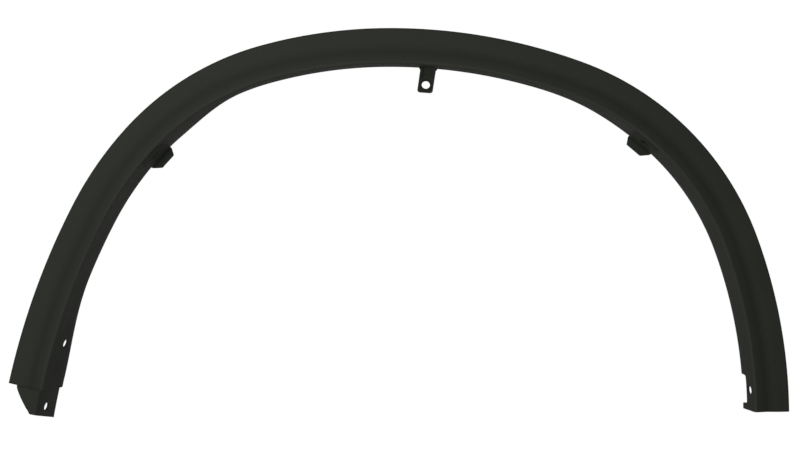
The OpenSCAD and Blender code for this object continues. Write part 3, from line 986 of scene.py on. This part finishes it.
def shader_group(name, outputs, inputs=()):
    group = bpy.data.node_groups.new(name, "ShaderNodeTree")
    for label in inputs:
        group.interface.new_socket(label, in_out="INPUT", socket_type="NodeSocketVector")
    for label in outputs:
        group.interface.new_socket(label, in_out="OUTPUT", socket_type="NodeSocketFloat")
    return group, group.nodes.new("NodeGroupInput"), group.nodes.new("NodeGroupOutput")


def grain_group():
    group, given, result = shader_group("etched grain", ("Height", "Pits"), ("Place",))
    where = given.outputs["Place"]
    cells = wire(group, "ShaderNodeTexVoronoi", {"Vector": where, "Scale": PEBBLE_SCALE},
                 feature="SMOOTH_F1")
    fine = wire(group, "ShaderNodeTexNoise", {"Vector": where, "Scale": FINE_SCALE, "Detail": 2.0})
    height = sum_of(group, "MULTIPLY_ADD", cells.outputs["Distance"], -0.8, 1.0)
    height = sum_of(group, "MULTIPLY_ADD", fine.outputs[0], 0.45, height)
    pits = smooth_step(group, cells.outputs["Distance"], 0.35, 0.8)
    group.links.new(height, result.inputs["Height"])
    group.links.new(pits, result.inputs["Pits"])
    return group


grain = grain_group()
print("pebbles about", round(1000 / PEBBLE_SCALE, 2), "mm apart")

# %% Clouds and streaks of weather
CLOUD_SCALE, STREAK_SCALE = 16.0, (60.0, 30.0, 9.0)


def weather_group():
    group, given, result = shader_group("weathering", ("Cloud", "Streak"), ("Place",))
    where = given.outputs["Place"]
    cloud = wire(group, "ShaderNodeTexNoise", {"Vector": where, "Scale": CLOUD_SCALE,
                                               "Detail": 4.0, "Roughness": 0.55})
    flow = wire(group, "ShaderNodeMapping", {"Vector": where, "Scale": STREAK_SCALE})
    streak = wire(group, "ShaderNodeTexNoise", {"Vector": flow.outputs[0], "Scale": 1.0,
                                                "Detail": 3.0})
    group.links.new(smooth_step(group, cloud.outputs[0], 0.3, 0.7), result.inputs["Cloud"])
    group.links.new(smooth_step(group, streak.outputs[0], 0.35, 0.75), result.inputs["Streak"])
    return group


weather = weather_group()
print("clouds about", round(1000 / CLOUD_SCALE), "mm across")

# %% Painted shade beside the top tab's rib
SHADE_ACROSS, SHADE_ALONG, SHADE_DEEP = (0.0003, 0.001), (0.008, 0.010), (0.002, 0.004)
# The next two sizes paint a ring of shade around the foot of the ring of the top tab's hole.
HALO, HALO_SHARE = (0.0086, 0.0074), 0.7


def corner_shade_group():
    """Painted shade in the corner beside the top tab's rib and around the ring of its hole."""
    start = Vector((TAB_RIB - TAB_W / 2, knee.y, -knee.x))
    end = Vector((start.x - math.tan(TAB_LEAN) * (elbow.x - knee.x), elbow.y, -elbow.x))
    a, b = (to_frame @ on_band(TAB_S) @ p for p in (start, end))
    hole = to_frame @ at_top_hole() @ Vector()
    run = (b - a).normalized()
    across = run.cross((to_frame @ on_band(TAB_S)).to_3x3().col[0]).normalized().cross(run)
    group, given, result = shader_group("corner dirt", ("Painted shade",), ("Place",))
    where = given.outputs["Place"]
    from_middle = wire(group, "ShaderNodeVectorMath", {0: where, 1: (a + b) / 2},
                       operation="SUBTRACT").outputs[0]
    painted_shade = 1.0
    for axis, reach in ((across, SHADE_ACROSS), (run, SHADE_ALONG),
                        (across.cross(run), SHADE_DEEP)):
        far_off = wire(group, "ShaderNodeVectorMath", {0: from_middle, 1: axis},
                       operation="DOT_PRODUCT").outputs["Value"]
        miss = smooth_step(group, sum_of(group, "ABSOLUTE", far_off), *reach)
        painted_shade = sum_of(group, "MULTIPLY", painted_shade, sum_of(group, "SUBTRACT", 1.0, miss))
    from_hole = wire(group, "ShaderNodeVectorMath", {0: where, 1: hole}, operation="DISTANCE")
    halo = smooth_step(group, from_hole.outputs["Value"], *HALO, HALO_SHARE)
    group.links.new(sum_of(group, "MAXIMUM", painted_shade, halo), result.inputs["Painted shade"])
    return group


corner_shade = corner_shade_group()
print("dirt beside the rib:", SHADE_ALONG[0] * 2000, "mm long")

# %% The plastic itself
BLACK, GREYED = (0.0208, 0.0233, 0.0179, 1), (0.0235, 0.0261, 0.0202, 1)
# The pale crest colour is a painted highlight; the darkest colour is painted shade.
DUST, CREST_HIGHLIGHT, PAINTED_SHADE_COLOUR = ((0.0252, 0.0272, 0.0218, 1), (0.0360, 0.0385, 0.0315, 1),
                      (0.0118, 0.0130, 0.0100, 1))
DUST_SHARE, CREST_HIGHLIGHT_SHARE, VALLEY_SHADE_SHARE = 0.25, 0.6, 0.5
ROUGH, CLOUD_ROUGH, PIT_ROUGH, CREST_ROUGH = 0.56, 0.08, 0.08, -0.12
GLOSS, GRAIN_STRENGTH, GRAIN_HEIGHT = 0.08, 0.35, 0.0004

plastic.use_nodes = True
tree = plastic.node_tree
shade = tree.nodes["Principled BSDF"]
spot = tree.nodes.new("ShaderNodeTexCoord").outputs["Object"]
grained = wire(tree, "ShaderNodeGroup", node_tree=grain)
worn = wire(tree, "ShaderNodeGroup", node_tree=weather)
shaded_corner = wire(tree, "ShaderNodeGroup", node_tree=corner_shade)
for node in (grained, worn, shaded_corner):
    tree.links.new(spot, node.inputs["Place"])
tint = wire(tree, "ShaderNodeMix", {"Factor": worn.outputs["Cloud"]}, data_type="RGBA")
tint.inputs[6].default_value, tint.inputs[7].default_value = BLACK, GREYED


def over(colour, coat, share):
    """A coat of another colour over a colour, by a share from 0 to 1."""
    mix = wire(tree, "ShaderNodeMix", {"Factor": share}, data_type="RGBA")
    tree.links.new(colour, mix.inputs[6])
    mix.inputs[7].default_value = coat
    return mix.outputs[2]


crest, valley = (wire(tree, "ShaderNodeAttribute", attribute_name=name).outputs["Fac"]
                 for name in ("crest", "valley"))
# Painted shade: the valley, the corner by the top tab's rib and its hole's ring are darkened.
shadowed = sum_of(tree, "MULTIPLY", valley, VALLEY_SHADE_SHARE)
shadowed = sum_of(tree, "MAXIMUM", shadowed, shaded_corner.outputs["Painted shade"])
colour = over(tint.outputs[2], DUST, sum_of(tree, "MULTIPLY", worn.outputs["Streak"], DUST_SHARE))
# Painted highlight: the crest is painted paler.
colour = over(colour, CREST_HIGHLIGHT, sum_of(tree, "MULTIPLY", crest, CREST_HIGHLIGHT_SHARE))
tree.links.new(over(colour, PAINTED_SHADE_COLOUR, shadowed), shade.inputs["Base Color"])
rough = sum_of(tree, "MULTIPLY_ADD", worn.outputs["Cloud"], CLOUD_ROUGH, ROUGH)
rough = sum_of(tree, "MULTIPLY_ADD", grained.outputs["Pits"], PIT_ROUGH, rough)
rough = sum_of(tree, "MULTIPLY_ADD", crest, CREST_ROUGH, rough)
tree.links.new(rough, shade.inputs["Roughness"])
shade.inputs["Specular IOR Level"].default_value = GLOSS
bump = wire(tree, "ShaderNodeBump", {"Strength": GRAIN_STRENGTH, "Distance": GRAIN_HEIGHT,
                                     "Height": grained.outputs["Height"]})
tree.links.new(bump.outputs[0], shade.inputs["Normal"])
print("nodes in the plastic:", len(tree.nodes))

# %% Hand the trim to the frame
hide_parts("arch_trim")
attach(band, "root")
print(band.name, "rides on root and replaces arch_trim")

# %% [markdown]
# ## Studio
#
# The trim is shown as if it hung on its screw: a plain pale floor lies well below it. The white
# backdrop is what the camera sees. Mirrored and refracted rays see it too, but only where it
# stands, within a cone behind the trim (`BACKDROP` holds the cone's two half angles, where the
# white begins and where it is full); from all other sides the room is a dim, even grey. One broad
# key stands beside the camera, a little to the left, as in the reference photograph. A light far
# behind, above the picture, shows the seats and ribs from the back and barely touches the front.

# %% Floor
FLOOR_Z, FLOOR_SIZE, FLOOR_PAINT = -0.8, (3.0, 2.6), (0.7, 0.7, 0.7, 1)


def stage_plane(name, centre, size, colour):
    bpy.ops.mesh.primitive_plane_add(size=1, location=centre)
    made = bpy.context.object
    made.name = name
    made.scale = (*size, 1)
    paint = bpy.data.materials.new(name)
    paint.use_nodes = True
    surface = paint.node_tree.nodes["Principled BSDF"]
    surface.inputs["Base Color"].default_value = colour
    surface.inputs["Roughness"].default_value = 0.9
    surface.inputs["Specular IOR Level"].default_value = 0
    made.data.materials.append(paint)


stage_plane("floor", (0, 0, FLOOR_Z), FLOOR_SIZE, FLOOR_PAINT)

# %% The room and the white behind the trim
BACKDROP, ROOM = (30, 20), 0.35
world = bpy.data.worlds.new("studio")
bpy.context.scene.world = world
world.use_nodes = True
sky = world.node_tree
sky.nodes.clear()
room = wire(sky, "ShaderNodeBackground", {"Color": (1, 1, 1, 1), "Strength": ROOM})
white = wire(sky, "ShaderNodeBackground", {"Color": (1, 1, 1, 1), "Strength": 1.0})
ray = sky.nodes.new("ShaderNodeLightPath").outputs
towards = wire(sky, "ShaderNodeSeparateXYZ", {
    0: sky.nodes.new("ShaderNodeTexCoord").outputs["Generated"]}).outputs[1]
behind = smooth_step(sky, towards, *(math.cos(math.radians(a)) for a in BACKDROP))
mirrored = sum_of(sky, "MAXIMUM", ray["Is Glossy Ray"], ray["Is Transmission Ray"])
mirrored = sum_of(sky, "MULTIPLY", mirrored, behind)
seen = sum_of(sky, "MAXIMUM", ray["Is Camera Ray"], mirrored)
choice = wire(sky, "ShaderNodeMixShader", {0: seen, 1: room.outputs[0], 2: white.outputs[0]})
out = sky.nodes.new("ShaderNodeOutputWorld")
sky.links.new(choice.outputs[0], out.inputs["Surface"])
print("white from", BACKDROP[0], "degrees off the view's depth, full from", BACKDROP[1])


# %% Lights and camera
def area_light(name, place_at, aim, size, power):
    data = bpy.data.lights.new(name, "AREA")
    data.shape, data.size, data.size_y, data.energy = "RECTANGLE", size[0], size[1], power
    made = bpy.data.objects.new(name, data)
    bpy.context.scene.collection.objects.link(made)
    made.location = place_at
    made.rotation_euler = (Vector(aim) - Vector(place_at)).to_track_quat("-Z", "Y").to_euler()
    print(name, "light:", power, "W")


area_light("key", (-0.6, -1.45, 0.25), (-0.2, 0, -0.15), (1.2, 1.0), 17)
area_light("back", (0, 4.5, 2.1), (0, 0, -0.2), (2.0, 1.5), 60)

LENS, STAND = 50.1, (-0.03211, -1.32892, -0.17359)
view = bpy.data.cameras.new("camera")
view.lens, view.sensor_width = LENS, 36
camera = bpy.data.objects.new("camera", view)
bpy.context.scene.collection.objects.link(camera)
camera.location = STAND
camera.rotation_euler = (math.radians(90), 0, 0)
bpy.context.scene.camera = camera
bpy.context.scene.view_settings.view_transform = "Standard"
